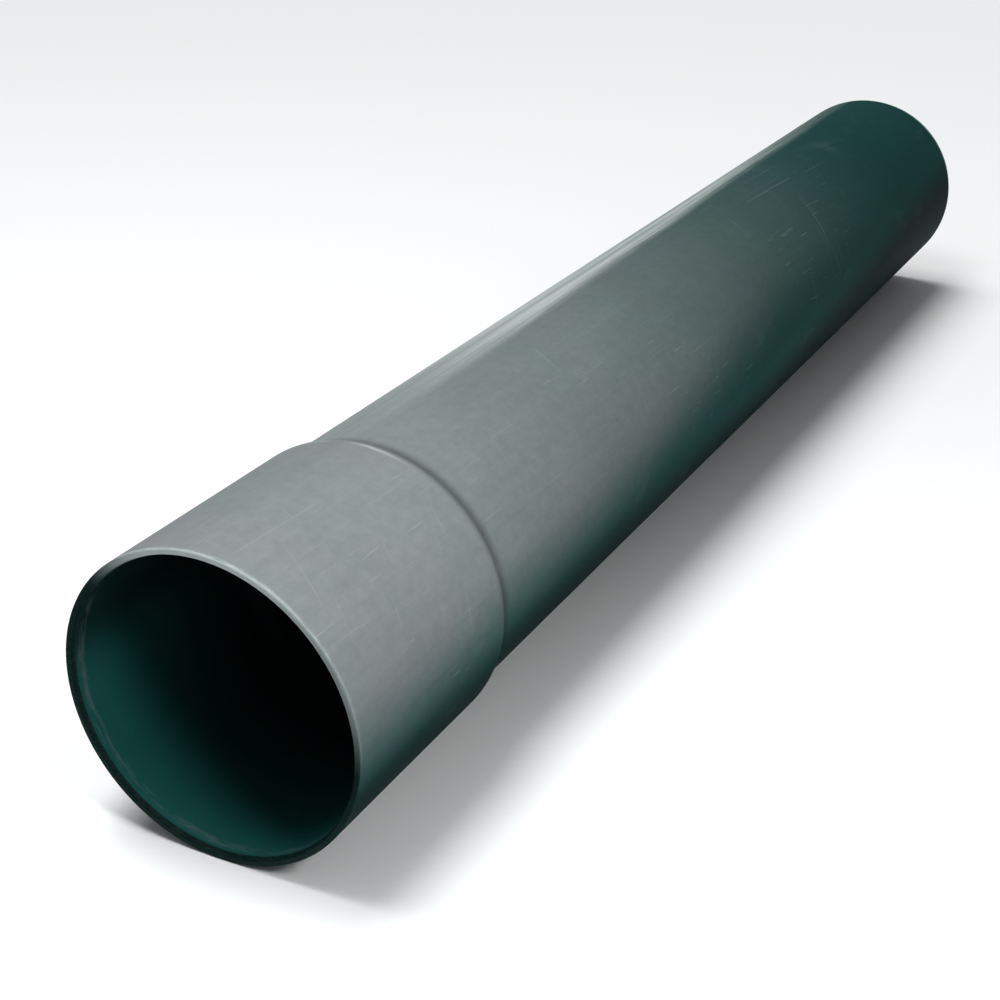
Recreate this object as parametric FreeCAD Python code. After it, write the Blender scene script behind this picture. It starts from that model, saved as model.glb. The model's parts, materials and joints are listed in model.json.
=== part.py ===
import FreeCAD, Part

import math
import os

from FreeCAD import Vector

# A length of rigid PVC pipe, formed at one end into a plain socket that takes
# the other end of a like pipe. All lengths are in millimetres.
#
# Frame: the pipe lies level along Y, its socket mouth facing -Y, +Z up. The
# origin is the middle of its bounding box at the height it rests on.

# Driving dimensions
OVERALL_LENGTH = 1050.0
BARREL_OUTER_DIAMETER = 160.0
BARREL_WALL = 4.0
SOCKET_DEPTH = 138.0        # straight part of the socket, from the mouth inwards
SOCKET_WALL = 4.0
SOCKET_CLEARANCE = 0.25     # between a spigot and the socket, on the radius
SHOULDER_LENGTH = 16.0      # along the pipe, from socket to barrel
MOUTH_LEAD_LENGTH = 3.0     # lead-in bevel inside the mouth, along the pipe
MOUTH_LEAD_DEPTH = 1.2      # the same bevel, into the wall
MOUTH_EDGE_RADIUS = 0.8     # outer edge of the mouth
SPIGOT_BEVEL_LENGTH = 7.0   # bevel outside the spigot end, along the pipe
SPIGOT_BEVEL_ANGLE = 15.0   # of that bevel, in degrees from the axis
SPIGOT_EDGE_BREAK = 0.4     # sawn inner edge of the spigot end

# Radii that follow from them
BARREL_OUTER = BARREL_OUTER_DIAMETER / 2
BARREL_INNER = BARREL_OUTER - BARREL_WALL
SOCKET_INNER = BARREL_OUTER + SOCKET_CLEARANCE
SOCKET_OUTER = SOCKET_INNER + SOCKET_WALL


def point(radius, along):
    """A point of the wall's section: radius from the axis, distance from the mouth."""
    return Vector(radius, 0, along)


def line(start, end):
    return Part.LineSegment(point(*start), point(*end)).toShape()


def arc(start, middle, end):
    return Part.Arc(point(*start), point(*middle), point(*end)).toShape()


def shoulder(from_radius, to_radius, start):
    """Two equal arcs from one radius to another, level with both walls they join.

    Each arc's middle lies a quarter of the way along the chord, set off from it
    by the arc's own height.
    """
    drop = from_radius - to_radius
    chord = math.hypot(SHOULDER_LENGTH, drop) / 2
    slope = math.atan2(drop, SHOULDER_LENGTH)
    height = chord / 2 * math.tan(slope / 2)
    off_radius = height * math.cos(slope)
    off_along = height * math.sin(slope)
    end = start + SHOULDER_LENGTH
    halfway = ((from_radius + to_radius) / 2, start + SHOULDER_LENGTH / 2)
    high = (from_radius - drop / 4 + off_radius, start + SHOULDER_LENGTH / 4 + off_along)
    low = (to_radius + drop / 4 - off_radius, end - SHOULDER_LENGTH / 4 - off_along)
    return [
        arc((from_radius, start), high, halfway),
        arc(halfway, low, (to_radius, end)),
    ]


def mouth_edges():
    """The mouth's cut face, from the lead-in bevel out over the rounded outer edge."""
    lead_radius = SOCKET_INNER + MOUTH_LEAD_DEPTH
    centre_radius = SOCKET_OUTER - MOUTH_EDGE_RADIUS
    diagonal = MOUTH_EDGE_RADIUS * math.sqrt(0.5)
    rounded = (centre_radius + diagonal, MOUTH_EDGE_RADIUS - diagonal)
    return [
        line((SOCKET_INNER, MOUTH_LEAD_LENGTH), (lead_radius, 0)),
        line((lead_radius, 0), (centre_radius, 0)),
        arc((centre_radius, 0), rounded, (SOCKET_OUTER, MOUTH_EDGE_RADIUS)),
    ]


def outside_edges():
    """The outer face, from the mouth to the start of the spigot's bevel."""
    bevel_start = OVERALL_LENGTH - SPIGOT_BEVEL_LENGTH
    barrel_start = SOCKET_DEPTH + SHOULDER_LENGTH
    return [
        line((SOCKET_OUTER, MOUTH_EDGE_RADIUS), (SOCKET_OUTER, SOCKET_DEPTH)),
        *shoulder(SOCKET_OUTER, BARREL_OUTER, SOCKET_DEPTH),
        line((BARREL_OUTER, barrel_start), (BARREL_OUTER, bevel_start)),
    ]


def spigot_edges():
    """The bevelled spigot end and its cut face, in to the bore."""
    bevel_start = OVERALL_LENGTH - SPIGOT_BEVEL_LENGTH
    bevel_depth = SPIGOT_BEVEL_LENGTH * math.tan(math.radians(SPIGOT_BEVEL_ANGLE))
    tip = BARREL_OUTER - bevel_depth
    inner_tip = BARREL_INNER + SPIGOT_EDGE_BREAK
    break_start = OVERALL_LENGTH - SPIGOT_EDGE_BREAK
    return [
        line((BARREL_OUTER, bevel_start), (tip, OVERALL_LENGTH)),
        line((tip, OVERALL_LENGTH), (inner_tip, OVERALL_LENGTH)),
        line((inner_tip, OVERALL_LENGTH), (BARREL_INNER, break_start)),
    ]


def inside_edges():
    """The inner face, from the spigot end back to the mouth's lead-in."""
    break_start = OVERALL_LENGTH - SPIGOT_EDGE_BREAK
    bore_start = SOCKET_DEPTH + SHOULDER_LENGTH
    return [
        line((BARREL_INNER, break_start), (BARREL_INNER, bore_start)),
        *reversed(shoulder(SOCKET_INNER, BARREL_INNER, SOCKET_DEPTH)),
        line((SOCKET_INNER, SOCKET_DEPTH), (SOCKET_INNER, MOUTH_LEAD_LENGTH)),
    ]


def make_pipe():
    """The wall's section, turned about the axis."""
    edges = mouth_edges() + outside_edges() + spigot_edges() + inside_edges()
    section = Part.Face(Part.Wire(edges))
    return section.revolve(Vector(0, 0, 0), Vector(0, 0, 1), 360)


def lay_down(pipe):
    """Turn the upright pipe on to its side and rest its socket at height 0."""
    pipe.rotate(Vector(0, 0, 0), Vector(1, 0, 0), -90)
    pipe.translate(Vector(0, -OVERALL_LENGTH / 2, SOCKET_OUTER))
    return pipe


os.makedirs("parts", exist_ok=True)
lay_down(make_pipe()).exportStep("parts/pipe.step")
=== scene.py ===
import json
import math

import bmesh
import bpy
from bpy.props import FloatProperty, FloatVectorProperty, IntProperty, PointerProperty
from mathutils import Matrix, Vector, noise


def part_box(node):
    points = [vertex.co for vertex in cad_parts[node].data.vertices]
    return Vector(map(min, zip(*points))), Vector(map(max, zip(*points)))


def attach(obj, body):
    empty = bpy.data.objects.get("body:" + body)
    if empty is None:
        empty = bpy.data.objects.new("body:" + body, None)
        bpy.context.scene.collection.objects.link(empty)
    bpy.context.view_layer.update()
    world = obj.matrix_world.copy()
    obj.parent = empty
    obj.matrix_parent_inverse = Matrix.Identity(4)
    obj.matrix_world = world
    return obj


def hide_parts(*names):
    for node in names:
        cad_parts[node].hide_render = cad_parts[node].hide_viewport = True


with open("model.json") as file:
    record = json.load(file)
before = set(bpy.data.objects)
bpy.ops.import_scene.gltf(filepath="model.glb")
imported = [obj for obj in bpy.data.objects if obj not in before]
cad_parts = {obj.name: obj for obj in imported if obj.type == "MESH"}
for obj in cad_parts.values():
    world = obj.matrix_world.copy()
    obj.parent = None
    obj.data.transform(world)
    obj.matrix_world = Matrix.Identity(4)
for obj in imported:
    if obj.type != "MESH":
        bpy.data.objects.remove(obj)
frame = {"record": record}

bl_info = {
    "name": "Socket pipe",
    "version": (1, 0, 0),
    "blender": (4, 5, 0),
    "location": "3D View > Sidebar > Pipe",
    "description": "A rigid PVC pipe with a formed socket, and the studio that shows it",
    "category": "Object",
}

MM = 0.001
MERGE_DISTANCE = 1e-6
CORNER_STEPS = 6

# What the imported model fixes: the pipe lies along Y, mouth at the low end.
CAD_LOW, CAD_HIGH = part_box("pipe")
MOUNTS = {mount["name"]: mount for mount in frame["record"]["mounts"]}
AXIS_HEIGHT = MOUNTS["socket"]["pos_m"][2]


def mount_radius(name):
    return MOUNTS[name]["dims"]["r_mm"] * MM


def mount_span(name):
    """Where a round mount's wall starts and ends along the pipe."""
    middle = MOUNTS[name]["pos_m"][1]
    half = MOUNTS[name]["dims"]["length_mm"] * MM / 2
    return middle - half, middle + half


MOUTH, SPIGOT_TIP = CAD_LOW.y, CAD_HIGH.y
SOCKET_OUTER = CAD_HIGH.x
SOCKET_INNER = mount_radius("socket")
BARREL_OUTER = mount_radius("spigot")
BARREL_INNER = mount_radius("flow_bore")
LEAD_END, SOCKET_END = mount_span("socket")
BARREL_START, BEVEL_START = mount_span("spigot")
BORE_END = mount_span("flow_bore")[1]
SHOULDER = BARREL_START - SOCKET_END


# ---------------------------------------------------------------- settings


class WallSettings(bpy.types.PropertyGroup):
    """The pipe's wall."""

    segments: IntProperty(
        name="Sides", description="Facets around the pipe", default=256, min=32)
    row: FloatProperty(
        name="Row", description="Length of one band of faces", default=0.012, unit="LENGTH")
    lead_depth: FloatProperty(
        name="Lead-in", description="Depth of the bevel inside the mouth",
        default=0.0012, unit="LENGTH")
    mouth_round: FloatProperty(
        name="Mouth rounding", description="Radius of the mouth's outer edge",
        default=0.0008, unit="LENGTH")
    bevel_angle: FloatProperty(
        name="Spigot bevel", description="Angle of the spigot's bevel from the axis",
        default=math.radians(15), unit="ROTATION")
    edge_round: FloatProperty(
        name="Edge rounding", description="Radius of the small sawn edges",
        default=0.0003, unit="LENGTH")
    skin: FloatProperty(
        name="Set-in", description="How far the wall lies inside the nominal size",
        default=0.00005, unit="LENGTH")
    wobble: FloatProperty(
        name="Wobble", description="Out-of-round waviness left by forming",
        default=0.00022, unit="LENGTH")
    waves_around: FloatProperty(
        name="Waves around", description="How quickly the wobble changes round the pipe",
        default=0.8)
    waves_along: FloatProperty(
        name="Waves along", description="How quickly the wobble changes along the pipe",
        default=7.0)


class FinishSettings(bpy.types.PropertyGroup):
    """The colours and gloss of the plastic, with the painted sheen, reflection, highlights and
    shade on it.
    """

    colour: FloatVectorProperty(
        name="Colour", description="Plain colour of the plastic",
        default=(0.009, 0.066, 0.060), subtype="COLOR", size=3, min=0, max=1)
    # Painted sheen and light on the upper side, together with a paler bleached film: the colour of
    # that pale side.
    sheen_and_bleach: FloatVectorProperty(
        name="Bleached colour", description="Paler film on the side that lay to the sky",
        default=(0.246, 0.258, 0.267), subtype="COLOR", size=3, min=0, max=1)
    # A greener patchy version of the same painted sheen and bleached film.
    greener_sheen_and_bleach: FloatVectorProperty(
        name="Stained colour", description="Patches of the bleached film with a green cast",
        default=(0.229, 0.260, 0.253), subtype="COLOR", size=3, min=0, max=1)
    # Also the colour of the painted reflection stripe and of the painted highlights on the crest
    # and the rims.
    pale_marks: FloatVectorProperty(
        name="Worn colour", description="Scuffed edges, scratches and rubbed spots",
        default=(0.50, 0.54, 0.53), subtype="COLOR", size=3, min=0, max=1)
    # Painted light inside by the mouth and painted shade further in, as multipliers of the colour.
    mouth_shade: FloatProperty(
        name="Mouth shade", description="How bright the inside is by the mouth, beside the colour",
        default=1.65, min=0)
    bore_shade: FloatProperty(
        name="Bore shade", description="How bright the inside is further in, beside the colour",
        default=0.42, min=0)
    # Which way the painted sheen and bleached film lean, and how far round they reach.
    sheen_and_bleach_lean: FloatProperty(
        name="Bleach lean", description="How far the bleached side leans from straight up",
        default=math.radians(-22), unit="ROTATION")
    sheen_and_bleach_reach: FloatProperty(
        name="Bleach reach", description="How far round the bleached side goes, each way",
        default=math.radians(92), unit="ROTATION")
    # Where the painted grazing reflection stripe lies round the pipe.
    reflection_lean: FloatProperty(
        name="Rub lean", description="How far the scuffed stripe leans from straight up",
        default=math.radians(-33), unit="ROTATION")
    reflection_reach: FloatProperty(
        name="Rub reach", description="How far round the scuffed stripe goes, each way",
        default=math.radians(23), unit="ROTATION")
    roughness: FloatProperty(
        name="Roughness", description="Of the satin skin", default=0.54,
        min=0, max=1, subtype="FACTOR")
    shine: FloatProperty(
        name="Shine", description="Strength of the skin's gloss", default=0.03,
        min=0, max=1, subtype="FACTOR")
    cut_slope: FloatProperty(
        name="Cut slope", description="An end face at least this steep counts as cut",
        default=0.2, min=0, max=1)


class StudioSettings(bpy.types.PropertyGroup):
    """The camera, the floor and the lights."""

    camera_place: FloatVectorProperty(
        name="Camera", description="Where the camera stands",
        default=(0.4493, -1.0911, 0.5310), subtype="TRANSLATION", unit="LENGTH", size=3)
    camera_heading: FloatProperty(
        name="Heading", description="Turn of the camera to the left of +Y",
        default=math.radians(27.45), unit="ROTATION")
    camera_pitch: FloatProperty(
        name="Pitch", description="How far the camera looks down",
        default=math.radians(25.35), unit="ROTATION")
    lens: FloatProperty(
        name="Lens", description="Focal length in millimetres on a 36 mm sensor",
        default=63.76, min=1)
    floor_size: FloatProperty(
        name="Floor", description="Side of the floor", default=40.0, unit="LENGTH")
    floor_colour: FloatVectorProperty(
        name="Floor colour", description="Colour of the paper floor",
        default=(0.93, 0.94, 0.94), subtype="COLOR", size=3, min=0, max=1)
    floor_roughness: FloatProperty(
        name="Floor roughness", description="Of the paper floor", default=0.9,
        min=0, max=1, subtype="FACTOR")
    air_colour: FloatVectorProperty(
        name="Air colour", description="Colour of the light from all round",
        default=(0.97, 0.99, 1.0), subtype="COLOR", size=3, min=0, max=1)
    air_strength: FloatProperty(
        name="Air strength", description="Strength of the light from all round",
        default=0.28, min=0)
    exposure: FloatProperty(
        name="Exposure", description="Brightness of the picture, in stops", default=0.15)
    gamma: FloatProperty(
        name="Gamma", description="Below 1 deepens the shadows of the picture", default=0.84,
        min=0.1)


SETTINGS = {"pipe_wall": WallSettings, "pipe_finish": FinishSettings, "pipe_studio": StudioSettings}


# ---------------------------------------------------------------- the wall


def section_corners(wall):
    """The wall's section: (radius, place along the pipe, rounding at that corner)."""
    bevel_depth = (SPIGOT_TIP - BEVEL_START) * math.tan(wall.bevel_angle)
    sawn = SPIGOT_TIP - BORE_END
    sawn_round = sawn / 4

    def shoulder_tangent(step):
        """Length of the tangents whose two arcs fill the shoulder for this step."""
        return (SHOULDER ** 2 + step ** 2) / (4 * SHOULDER)

    outer = shoulder_tangent(SOCKET_OUTER - BARREL_OUTER)
    inner = shoulder_tangent(SOCKET_INNER - BARREL_INNER)
    return [
        (SOCKET_INNER, LEAD_END, wall.edge_round),
        (SOCKET_INNER + wall.lead_depth, MOUTH, wall.edge_round),
        (SOCKET_OUTER, MOUTH, wall.mouth_round),
        (SOCKET_OUTER, SOCKET_END + outer, outer),
        (BARREL_OUTER, BARREL_START - outer, outer),
        (BARREL_OUTER, BEVEL_START, wall.edge_round),
        (BARREL_OUTER - bevel_depth, SPIGOT_TIP, wall.edge_round),
        (BARREL_INNER + sawn, SPIGOT_TIP, sawn_round),
        (BARREL_INNER, BORE_END, sawn_round),
        (BARREL_INNER, BARREL_START - inner, inner),
        (SOCKET_INNER, SOCKET_END + inner, inner),
    ]


def draw_section(bm, wall):
    """The closed outline of the wall, in the plane x = radius, y = along."""
    corners = section_corners(wall)
    verts = [bm.verts.new((radius, along, 0)) for radius, along, _ in corners]
    for start, end in zip(verts, verts[1:] + verts[:1]):
        bm.edges.new((start, end))
    for vert, (_, _, rounding) in zip(verts, corners):
        bmesh.ops.bevel(
            bm, geom=[vert], offset=rounding, offset_type="OFFSET", affect="VERTICES",
            segments=CORNER_STEPS, profile=0.5, material=-1, clamp_overlap=False)
    bmesh.ops.remove_doubles(bm, verts=bm.verts[:], dist=MERGE_DISTANCE)


def divide_long_edges(bm, row):
    """Cuts the long edges of the outline, so that the turned wall has rows of faces."""
    for edge in [e for e in bm.edges if e.calc_length() > 2 * row]:
        cuts = round(edge.calc_length() / row)
        bmesh.ops.subdivide_edges(bm, edges=[edge], cuts=cuts)


def bend_slightly(bm, wall):
    """Moves the whole wall inward a little, by a wavy amount, as forming and storing leave it."""
    for vert in bm.verts:
        radius = math.hypot(vert.co.x, vert.co.z)
        around = Vector((vert.co.x, 0, vert.co.z)) / radius
        place = around * wall.waves_around + Vector((0, vert.co.y * wall.waves_along, 0))
        wave = (1 + noise.noise(place)) / 2
        vert.co -= around * (wall.skin + wall.wobble * max(0.0, min(1.0, wave)))


def make_wall(wall):
    bm = bmesh.new()
    draw_section(bm, wall)
    divide_long_edges(bm, wall.row)
    bmesh.ops.spin(
        bm, geom=bm.verts[:] + bm.edges[:], cent=(0, 0, 0), axis=(0, 1, 0),
        angle=2 * math.pi, steps=wall.segments, use_merge=True, use_duplicate=False)
    bmesh.ops.remove_doubles(bm, verts=bm.verts[:], dist=MERGE_DISTANCE)
    bmesh.ops.recalc_face_normals(bm, faces=bm.faces[:])
    bend_slightly(bm, wall)
    bmesh.ops.translate(bm, verts=bm.verts[:], vec=(0, 0, AXIS_HEIGHT))
    mesh = bpy.data.meshes.new("pipe_wall")
    bm.to_mesh(mesh)
    bm.free()
    for polygon in mesh.polygons:
        polygon.use_smooth = True
    piece = bpy.data.objects.new("pipe_wall", mesh)
    bpy.context.scene.collection.objects.link(piece)
    normals = piece.modifiers.new("even shading", "WEIGHTED_NORMAL")
    normals.keep_sharp = False
    return piece


# ---------------------------------------------------------------- materials


PVC_IOR = 1.5

# Where things change along the pipe.
# The painted sheen and bleached film thin out and narrow along the pipe between these, as the light
# falls off towards the spigot.
SHEEN_FILM_FULL = MOUTH * 0.86
SHEEN_FILM_FAINT = SPIGOT_TIP * 0.8
SHEEN_FILM_WIDE = MOUTH * 0.65
SHEEN_FILM_NARROW = SPIGOT_TIP * 0.3
# The painted reflection stripe grows in and fades out along the barrel between these.
REFLECTION_FULL = BARREL_START + 0.25
REFLECTION_FADES = SPIGOT_TIP * 0.2
# The painted shade in the crease behind the shoulder is centred here.
CREASE_SHADE_RING = SOCKET_END + SHOULDER * 0.65
# The painted highlight on the shoulder's crest is centred here.
CREST_RING = SOCKET_END + SHOULDER * 0.08

# Which way the changes round the pipe lean from straight up.
# The painted highlight on the upper rim of an end is centred this way, and fades towards the other.
RIM_LEAN = math.radians(24)
RIM_FADE_LEAN = math.radians(-20)
CREST_LEAN = math.radians(-25)
# The painted shade in the crease is strongest on the side this leans to.
CREASE_SHADE_LEAN = math.radians(70)

# How strongly each kind of wear, painted highlight and painted reflection shows, from 0 to 1.
RUBBED_WEAR = 0.045
SCRATCH_WEAR = 0.16
REFLECTION_STRENGTH = 0.88
CREST_HIGHLIGHT = 0.75
MOUTH_HIGHLIGHT_AND_WEAR = 0.9
SPIGOT_WEAR = 0.6
RING_WEAR = 0.26
SAWN_HIGHLIGHT_AND_WEAR = 0.85
SAW_MARK_WEAR = 0.04

# How far from an edge its wear, and at the mouth its painted highlight, reaches.
MOUTH_EDGE_REACH = 3.4 * MM
SPIGOT_EDGE_REACH = 2.2 * MM
RING_REACH = 4 * MM

# Heights of the fine relief.
LINE_HEIGHT = 0.05 * MM
BORE_LINE_HEIGHT = 0.04 * MM
SAW_MARK_HEIGHT = 0.03 * MM
PEEL_HEIGHT = 0.02 * MM
SCRATCH_DEPTH = 0.02 * MM


class Finish:
    """The nodes of one material, all placed by the piece's own coordinates."""

    def __init__(self, name):
        self.material = bpy.data.materials.new(name)
        self.material.use_nodes = True
        self.nodes = self.material.node_tree.nodes
        self.shader = self.nodes["Principled BSDF"]
        place = self.nodes.new("ShaderNodeTexCoord").outputs["Object"]
        self.place = self.put("ShaderNodeMapping", Vector=place, Location=(0, 0, -AXIS_HEIGHT))
        parts = self.nodes.new("ShaderNodeSeparateXYZ")
        self.feed(parts.inputs[0], self.place)
        self.along = parts.outputs["Y"]
        self.across = parts.outputs["X"]
        self.up = parts.outputs["Z"]
        across = self.nodes.new("ShaderNodeVectorMath")
        across.operation = "MULTIPLY"
        self.feed(across.inputs[0], self.place)
        across.inputs[1].default_value = (1, 0, 1)
        length = self.nodes.new("ShaderNodeVectorMath")
        length.operation = "LENGTH"
        self.feed(length.inputs[0], across.outputs[0])
        self.radius = length.outputs["Value"]

    def feed(self, socket, value):
        """Links a node's output to the socket, or sets the socket to a plain value."""
        if isinstance(value, bpy.types.NodeSocket):
            self.material.node_tree.links.new(value, socket)
        else:
            socket.default_value = value

    def put(self, kind, **inputs):
        """Adds a node, fills its named inputs and returns its first output."""
        made = self.nodes.new(kind)
        for key, value in inputs.items():
            self.feed(made.inputs[key], value)
        return made.outputs[0]

    def grain(self, stretch, detail=2.0, roughness=0.5, warp=0.0, turn=0.0):
        """Noise whose spots are 1/stretch metres long along each axis, turned about Z."""
        turned = self.put("ShaderNodeMapping", Vector=self.place, Rotation=(0, 0, turn))
        place = self.put("ShaderNodeMapping", Vector=turned, Scale=stretch)
        return self.put(
            "ShaderNodeTexNoise", Vector=place, Scale=1.0, Detail=detail,
            Roughness=roughness, Distortion=warp)

    def band(self, value, low, high):
        """0 below low, 1 above high, and smooth between; the other way round if high < low."""
        made = self.nodes.new("ShaderNodeMapRange")
        made.interpolation_type = "SMOOTHSTEP"
        self.feed(made.inputs["Value"], value)
        made.inputs["From Min"].default_value = min(low, high)
        made.inputs["From Max"].default_value = max(low, high)
        made.inputs["To Min"].default_value = 0.0 if low < high else 1.0
        made.inputs["To Max"].default_value = 1.0 if low < high else 0.0
        return made.outputs["Result"]

    def combine(self, operation, first, second=0.0):
        """The result of one Math node."""
        made = self.nodes.new("ShaderNodeMath")
        made.operation = operation
        self.feed(made.inputs[0], first)
        self.feed(made.inputs[1], second)
        return made.outputs[0]

    def times(self, first, second):
        return self.combine("MULTIPLY", first, second)

    def add(self, first, second):
        return self.combine("ADD", first, second)

    def scaled(self, value, low, high):
        """Spreads a 0 to 1 value over low to high."""
        return self.add(self.times(value, high - low), low)

    def mix(self, amount, first, second):
        """The first colour where amount is 0, the second where it is 1."""
        made = self.nodes.new("ShaderNodeMix")
        made.data_type = "RGBA"
        self.feed(made.inputs[0], amount)
        self.feed(made.inputs[6], first)
        self.feed(made.inputs[7], second)
        return made.outputs[2]

    def tint(self, colour, amount):
        """The colour times a grey amount."""
        made = self.nodes.new("ShaderNodeVectorMath")
        made.operation = "SCALE"
        self.feed(made.inputs[0], colour)
        self.feed(made.inputs["Scale"], amount)
        return made.outputs[0]

    def near(self, value, centre, reach):
        """1 at centre, fading to 0 at reach from it."""
        away = self.combine("ABSOLUTE", self.combine("SUBTRACT", value, centre))
        return self.band(away, reach, 0.0)

    def relief(self, height, depth, normal=None):
        """Bumps depth metres high where height is 1."""
        made = self.nodes.new("ShaderNodeBump")
        made.inputs["Distance"].default_value = depth
        made.inputs["Strength"].default_value = 1.0
        self.feed(made.inputs["Height"], height)
        if normal is not None:
            self.feed(made.inputs["Normal"], normal)
        return made.outputs[0]

    def finish(self, colour, roughness, normal, shine):
        self.feed(self.shader.inputs["Base Color"], colour)
        self.feed(self.shader.inputs["Roughness"], roughness)
        self.feed(self.shader.inputs["Normal"], normal)
        self.shader.inputs["IOR"].default_value = PVC_IOR
        self.shader.inputs["Specular IOR Level"].default_value = shine
        return self.material


def facing(look, lean):
    """1 where the wall faces a line that leans this far from straight up, 0 at right angles."""
    sideways = look.times(look.combine("DIVIDE", look.across, look.radius), math.sin(lean))
    upwards = look.times(look.combine("DIVIDE", look.up, look.radius), math.cos(lean))
    return look.add(sideways, upwards)


def sheen_and_bleach_side(look, finish):
    """1 on the upper side, painted paler partly as a bleached film and
    partly as painted sheen and light, fading round the sides.

    The pale side is widest on the socket.
    """
    ragged = look.scaled(look.grain((9, 5, 9), detail=4.0, roughness=0.6), -0.07, 0.07)
    wider = look.times(look.band(look.along, SHEEN_FILM_NARROW, SHEEN_FILM_WIDE), 0.35)
    edge = math.cos(finish.sheen_and_bleach_reach)
    turned = look.add(look.add(facing(look, finish.sheen_and_bleach_lean), ragged), wider)
    return look.band(turned, edge - 0.24, edge + 0.44)


def painted_underside_shade(look):
    """Full colour above, then painted shade lower down the sides and underneath, starting higher up
    at the spigot.
    """
    raised = look.times(look.band(look.along, 0.0, SPIGOT_TIP), -0.5)
    unshaded = look.band(look.add(facing(look, 0.0), raised), -0.42, 0.0)
    return look.scaled(unshaded, 0.28, 1.0)


def lit_rim(look):
    """1 on the upper part of an end, where its pale rim is painted, partly as wear and partly as a
    painted highlight, fading down the sides.
    """
    top = look.band(facing(look, RIM_LEAN), 0.25, 0.75)
    painted_light_fade = look.band(facing(look, RIM_FADE_LEAN), 0.0, 0.9)
    return look.times(top, look.scaled(painted_light_fade, 0.5, 1.0))


def painted_grazing_reflection(look, finish):
    """A painted reflection: a pale stripe along the barrel where a grazing reflection lies,
    streaked to look scuffed.
    """
    ragged = look.scaled(look.grain((120, 5, 120), detail=4.0, roughness=0.65), -0.045, 0.045)
    edge = math.cos(finish.reflection_reach)
    wider = look.scaled(look.band(look.along, SPIGOT_TIP, BARREL_START), -0.035, 0.025)
    turned = look.add(look.add(facing(look, finish.reflection_lean), ragged), wider)
    stripe = look.band(turned, edge - 0.03, edge + 0.05)
    near_end = look.band(look.along, BARREL_START, REFLECTION_FULL)
    far_end = look.band(look.along, SPIGOT_TIP, REFLECTION_FADES)
    length = look.times(look.scaled(near_end, 0.15, 1.0), look.scaled(far_end, 0.3, 1.0))
    streaks = look.band(look.grain((230, 3, 230), detail=5.0, roughness=0.65), 0.36, 0.62)
    streaks = look.scaled(streaks, 0.5, 1.0)
    on_barrel = look.band(look.along, BARREL_START - 4 * MM, BARREL_START + 4 * MM)
    return look.times(look.times(stripe, look.times(length, streaks)), on_barrel)


def rgba(colour):
    return (*colour, 1.0)


def extrusion_lines(look):
    """Fine lines that the die leaves along the pipe, coarse and fine together."""
    coarse = look.grain((190, 1.6, 190), detail=3.0)
    fine = look.grain((950, 5.0, 950), detail=2.0)
    return look.add(look.times(coarse, 0.6), look.times(fine, 0.4))


def hairline_scratches(look):
    """Sparse thin marks, along the pipe and round it, none of them quite straight."""
    along = look.band(look.grain((700, 5, 700), detail=1.0, warp=0.7, turn=0.06), 0.69, 0.75)
    askew = look.band(look.grain((13, 760, 13), detail=1.0, warp=0.5, turn=0.45), 0.70, 0.76)
    patches = look.band(look.grain((9, 6, 9), detail=2.0), 0.50, 0.64)
    return look.times(look.combine("MAXIMUM", along, askew), patches)


def rubbed_patches(look):
    """Dull spots where the pipe has lain against others."""
    spots = look.grain((26, 13, 26), detail=6.0, roughness=0.68)
    return look.band(spots, 0.56, 0.74)


def edge_wear(look, radius, place, reach):
    """A broken pale line round an edge at this radius and place along the pipe."""
    aside = look.near(look.radius, radius, reach)
    along = look.near(look.along, place, reach)
    broken = look.band(look.grain((120, 500, 120), detail=4.0, roughness=0.7), 0.32, 0.62)
    return look.times(look.times(aside, along), broken)


def painted_crest_highlight(look):
    """A painted highlight along the top of the shoulder's crest, broken into spots."""
    crest = look.near(look.along, CREST_RING, SHOULDER * 0.2)
    broken = look.band(look.grain((34, 300, 34), detail=4.0, roughness=0.7), 0.40, 0.66)
    lit_top = look.band(facing(look, CREST_LEAN), 0.62, 0.95)
    return look.times(look.times(crest, broken), lit_top)


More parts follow.
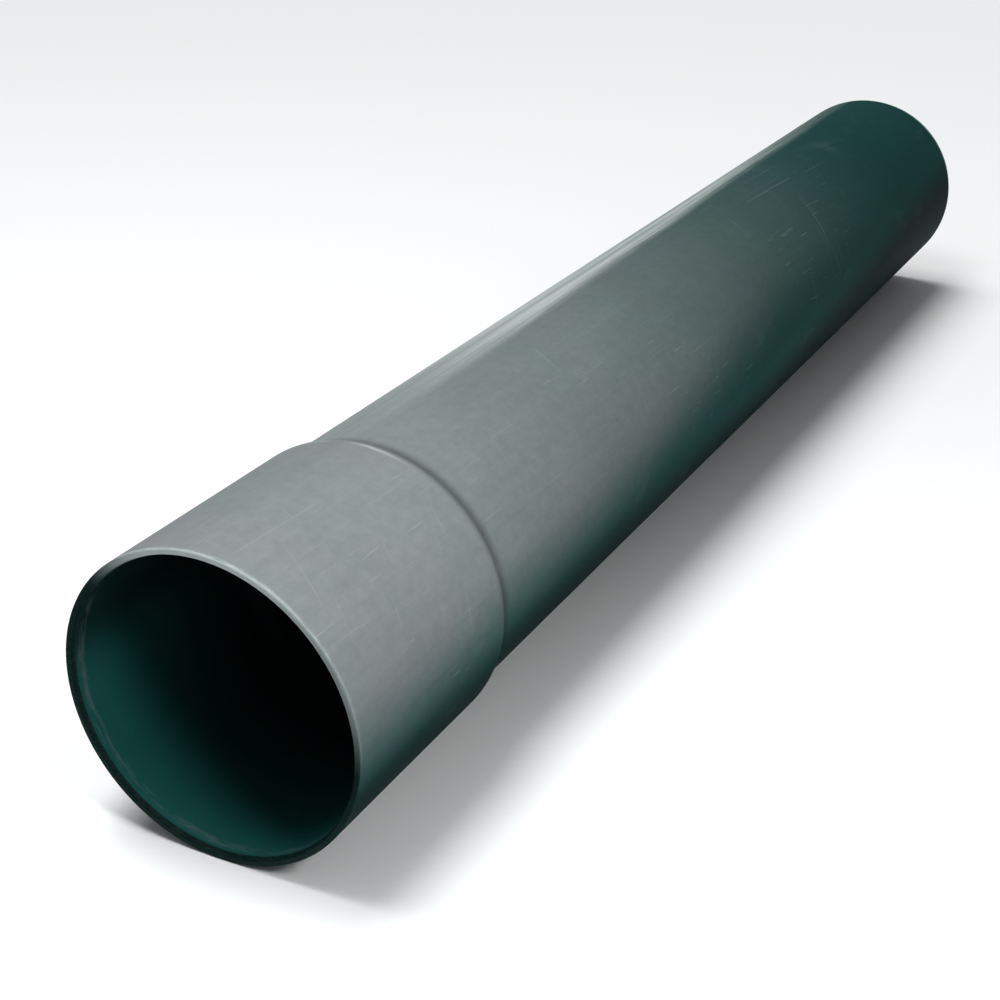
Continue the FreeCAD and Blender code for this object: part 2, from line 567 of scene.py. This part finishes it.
def make_skin(finish):
    """The satin outside of the pipe and its socket."""
    look = Finish("pvc skin")
    lines = extrusion_lines(look)
    clouds = look.grain((11, 7, 11), detail=3.0, roughness=0.55)
    mottle = look.grain((150, 120, 150), detail=5.0, roughness=0.66)
    scratches = hairline_scratches(look)
    rubbed = rubbed_patches(look)

    tone = look.scaled(clouds, 0.86, 1.14)
    tone = look.times(tone, look.scaled(mottle, 0.92, 1.08))
    tone = look.times(tone, look.scaled(lines, 0.90, 1.10))
    # Painted shade in the crease behind the socket's shoulder, strongest on one side.
    crease = look.near(look.along, CREASE_SHADE_RING, SHOULDER * 0.6)
    shaded_side = look.band(facing(look, CREASE_SHADE_LEAN), -0.2, 0.7)
    crease = look.times(crease, look.scaled(shaded_side, 0.4, 1.0))
    crease_shade = look.times(crease, look.scaled(look.grain((60, 90, 60), detail=4.0), 0.75, 1.0))
    tone = look.times(tone, look.scaled(crease_shade, 1.0, 0.52))

    # Painted sheen and light on the upper side, fading towards the spigot as the light falls off,
    # mixed with a paler bleached film.
    painted_light_fade = look.band(look.along, SHEEN_FILM_FAINT, SHEEN_FILM_FULL)
    sheen_and_film = look.times(sheen_and_bleach_side(look, finish), look.scaled(painted_light_fade, 0.03, 0.98))
    sheen_and_film = look.times(sheen_and_film, look.scaled(mottle, 0.92, 1.08))
    patchy = look.band(look.grain((7, 11, 7), detail=3.0, roughness=0.6), 0.38, 0.62)
    pale = look.mix(patchy, rgba(finish.sheen_and_bleach), rgba(finish.greener_sheen_and_bleach))
    # Painted shade on the underside darkens the plain colour.
    plain = look.tint(finish.colour, painted_underside_shade(look))
    colour = look.mix(look.combine("MINIMUM", sheen_and_film, 1.0), plain, pale)
    colour = look.tint(colour, tone)

    # Real rubbed spots and scratches; the painted reflection and highlights are added below.
    wear_and_highlights = look.add(look.times(rubbed, RUBBED_WEAR), look.times(scratches, SCRATCH_WEAR))
    # A painted grazing reflection stripe along the barrel.
    wear_and_highlights = look.add(wear_and_highlights, look.times(painted_grazing_reflection(look, finish), REFLECTION_STRENGTH))
    # A painted highlight on the shoulder's crest.
    wear_and_highlights = look.add(wear_and_highlights, look.times(painted_crest_highlight(look), CREST_HIGHLIGHT))
    # The mouth's pale outer edge: partly wear, partly a painted highlight on its upper part.
    mouth_highlight_and_wear = edge_wear(look, SOCKET_OUTER, MOUTH, MOUTH_EDGE_REACH)
    mouth_highlight_and_wear = look.times(mouth_highlight_and_wear, lit_rim(look))
    wear_and_highlights = look.add(wear_and_highlights, look.times(mouth_highlight_and_wear, MOUTH_HIGHLIGHT_AND_WEAR))
    spigot_edge = edge_wear(look, BARREL_OUTER, BEVEL_START, SPIGOT_EDGE_REACH)
    wear_and_highlights = look.add(wear_and_highlights, look.times(spigot_edge, SPIGOT_WEAR))
    colour = look.mix(look.combine("MINIMUM", wear_and_highlights, 1.0), colour, rgba(finish.pale_marks))

    roughness = look.add(finish.roughness, look.scaled(clouds, -0.05, 0.05))
    roughness = look.add(roughness, look.scaled(lines, -0.04, 0.04))
    roughness = look.add(roughness, look.times(wear_and_highlights, 0.15))

    peel = look.grain((420, 300, 420), detail=2.0)
    normal = look.relief(lines, LINE_HEIGHT)
    normal = look.relief(peel, PEEL_HEIGHT, normal)
    normal = look.relief(look.times(scratches, -1.0), SCRATCH_DEPTH, normal)
    return look.finish(colour, roughness, normal, finish.shine)


def make_bore(finish):
    """The smoother inside, with painted light by the mouth, painted shade further in and on its
    upper half, and a rubbed ring by the mouth.
    """
    look = Finish("pvc bore")
    lines = extrusion_lines(look)
    clouds = look.grain((18, 9, 18), detail=3.0)
    tone = look.times(look.scaled(clouds, 0.84, 1.14), look.scaled(lines, 0.92, 1.08))
    # Painted light by the mouth, fading into painted shade further in.
    depth = look.band(look.along, LEAD_END, BARREL_START)
    tone = look.times(tone, look.scaled(depth, finish.mouth_shade, finish.bore_shade))
    # Painted shade on the upper half of the inside.
    low = look.band(facing(look, 0.0), 0.35, -0.2)
    tone = look.times(tone, look.scaled(low, 0.25, 1.0))
    plain = look.tint(finish.colour, tone)
    ring = look.near(look.along, LEAD_END + RING_REACH, RING_REACH)
    pale_marks = look.times(ring, look.band(look.grain((70, 400, 70), detail=4.0), 0.42, 0.66))
    haze = look.add(look.times(pale_marks, RING_WEAR), look.scaled(clouds, 0.0, 0.03))
    colour = look.mix(haze, plain, rgba(finish.sheen_and_bleach))
    roughness = look.add(finish.roughness - 0.06, look.scaled(clouds, -0.05, 0.05))
    normal = look.relief(lines, BORE_LINE_HEIGHT)
    return look.finish(colour, roughness, normal, finish.shine)


def make_cut(finish):
    """Sawn and bevelled faces at both ends: duller and finely marked, with painted shade on the
    lower part and a pale upper part that is partly wear and partly a painted highlight.
    """
    look = Finish("pvc cut")
    saw = look.grain((90, 600, 1500), detail=2.0, warp=0.3)
    rings = look.grain((8, 2600, 8), detail=2.0)
    marks = look.add(look.times(saw, 0.5), look.times(rings, 0.5))
    spots = look.grain((160, 160, 160), detail=5.0, roughness=0.7)
    tone = look.times(look.scaled(marks, 0.8, 1.2), look.scaled(spots, 0.85, 1.15))
    lit_top = lit_rim(look)
    # Painted shade on the lower part of the end faces.
    plain = look.tint(finish.colour, look.times(tone, look.scaled(lit_top, 0.3, 1.0)))
    lit_top = look.times(lit_top, look.scaled(spots, 0.75, 1.0))
    scored = look.band(marks, 0.42, 0.64)
    # Wear mixed with a painted highlight on the upper part, and the saw marks.
    wear_and_highlights = look.add(look.times(lit_top, SAWN_HIGHLIGHT_AND_WEAR), look.times(scored, SAW_MARK_WEAR))
    colour = look.mix(look.combine("MINIMUM", wear_and_highlights, 1.0), plain, rgba(finish.pale_marks))
    roughness = look.add(finish.roughness + 0.14, look.scaled(spots, -0.06, 0.06))
    normal = look.relief(marks, SAW_MARK_HEIGHT)
    return look.finish(colour, roughness, normal, finish.shine)


def finish_wall(piece, finish):
    """Skin outside, bore inside, and cut faces at the ends."""
    for make in (make_skin, make_bore, make_cut):
        piece.data.materials.append(make(finish))
    skin, bore, cut = range(3)
    for face in piece.data.polygons:
        away = Vector((face.center.x, 0, face.center.z - AXIS_HEIGHT)).normalized()
        at_an_end = face.center.y < LEAD_END or face.center.y > BEVEL_START
        if at_an_end and abs(face.normal.y) > finish.cut_slope:
            face.material_index = cut
        else:
            face.material_index = skin if face.normal.dot(away) > 0 else bore


# ---------------------------------------------------------------- the studio


SENSOR_WIDTH_MM = 36.0
SUN_DISTANCE = 3


def make_floor(studio):
    bm = bmesh.new()
    bmesh.ops.create_grid(bm, x_segments=1, y_segments=1, size=studio.floor_size / 2)
    mesh = bpy.data.meshes.new("floor")
    bm.to_mesh(mesh)
    bm.free()
    floor = bpy.data.objects.new("floor", mesh)
    bpy.context.scene.collection.objects.link(floor)
    material = bpy.data.materials.new("floor paper")
    material.use_nodes = True
    shader = material.node_tree.nodes["Principled BSDF"]
    shader.inputs["Base Color"].default_value = rgba(studio.floor_colour)
    shader.inputs["Roughness"].default_value = studio.floor_roughness
    shader.inputs["Specular IOR Level"].default_value = 0.1
    mesh.materials.append(material)


def make_camera(studio):
    data = bpy.data.cameras.new("camera")
    data.sensor_width = SENSOR_WIDTH_MM
    data.lens = studio.lens
    data.clip_start = 0.01
    data.clip_end = 200
    camera = bpy.data.objects.new("camera", data)
    camera.location = studio.camera_place
    camera.rotation_euler = (math.pi / 2 - studio.camera_pitch, 0, studio.camera_heading)
    bpy.context.scene.collection.objects.link(camera)
    bpy.context.scene.camera = camera


def direction(bearing, height):
    """The way to look, at this bearing from +Y and this height above level, in degrees."""
    bearing, height = math.radians(bearing), math.radians(height)
    return Vector((
        math.sin(bearing) * math.cos(height),
        math.cos(bearing) * math.cos(height),
        math.sin(height)))


def hang_light(data, place, away):
    """Hangs the light there, shining back along the way it lies."""
    lamp = bpy.data.objects.new(data.name, data)
    lamp.location = place
    lamp.rotation_euler = away.to_track_quat("Z", "Y").to_euler()
    lamp.visible_camera = False
    bpy.context.scene.collection.objects.link(lamp)


def softbox(name, target, away, reach, size, power, spread=180):
    """A round soft light, this far from what it lights."""
    data = bpy.data.lights.new(name, "AREA")
    data.shape = "DISK"
    data.size = size
    data.energy = power
    data.spread = math.radians(spread)
    hang_light(data, target + away * reach, away)


def skylight(name, away, width, strength):
    """An even light over the whole floor, as from a window this many degrees wide."""
    data = bpy.data.lights.new(name, "SUN")
    data.angle = math.radians(width)
    data.energy = strength
    hang_light(data, away * SUN_DISTANCE, away)


def make_lights():
    """An even light from above, a key over the mouth and a small one that looks into it."""
    mouth = Vector((0, MOUTH, AXIS_HEIGHT))
    skylight("even light", direction(bearing=282, height=74), width=36, strength=1.75)
    softbox(
        "key light", mouth, direction(bearing=290, height=80),
        reach=1.7, size=0.7, power=6.2)
    softbox(
        "mouth light", mouth, direction(bearing=108, height=40),
        reach=1.1, size=0.26, power=0.8, spread=70)


def make_world(studio):
    world = bpy.data.worlds.new("studio air")
    world.use_nodes = True
    air = world.node_tree.nodes["Background"]
    air.inputs["Color"].default_value = rgba(studio.air_colour)
    air.inputs["Strength"].default_value = studio.air_strength
    bpy.context.scene.world = world


# ---------------------------------------------------------------- operators


class PIPE_OT_wall(bpy.types.Operator):
    """Turn the pipe's wall and give it its plastic"""

    bl_idname = "pipe.wall"
    bl_label = "Make the pipe"

    def execute(self, context):
        piece = make_wall(context.scene.pipe_wall)
        finish_wall(piece, context.scene.pipe_finish)
        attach(piece, "root")
        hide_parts("pipe")
        return {"FINISHED"}


class PIPE_OT_stage(bpy.types.Operator):
    """Lay the floor, place the camera and set the lights"""

    bl_idname = "pipe.stage"
    bl_label = "Make the studio"

    def execute(self, context):
        studio = context.scene.pipe_studio
        make_floor(studio)
        make_camera(studio)
        make_lights()
        make_world(studio)
        context.scene.view_settings.view_transform = "Standard"
        context.scene.view_settings.exposure = studio.exposure
        context.scene.view_settings.gamma = studio.gamma
        return {"FINISHED"}


class PIPE_PT_panel(bpy.types.Panel):
    """The pipe's sizes and colours"""

    bl_label = "Socket pipe"
    bl_space_type = "VIEW_3D"
    bl_region_type = "UI"
    bl_category = "Pipe"

    def draw(self, context):
        for name, group in SETTINGS.items():
            settings = getattr(context.scene, name)
            box = self.layout.box()
            for key in group.__annotations__:
                box.prop(settings, key)
        self.layout.operator(PIPE_OT_wall.bl_idname)
        self.layout.operator(PIPE_OT_stage.bl_idname)


CLASSES = (*SETTINGS.values(), PIPE_OT_wall, PIPE_OT_stage, PIPE_PT_panel)


def register():
    for each in CLASSES:
        bpy.utils.register_class(each)
    for name, group in SETTINGS.items():
        setattr(bpy.types.Scene, name, PointerProperty(type=group))


def unregister():
    for name in SETTINGS:
        delattr(bpy.types.Scene, name)
    for each in reversed(CLASSES):
        bpy.utils.unregister_class(each)


def main():
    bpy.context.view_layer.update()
    register()
    bpy.ops.pipe.wall()
    bpy.ops.pipe.stage()


if __name__ == "__main__":
    main()
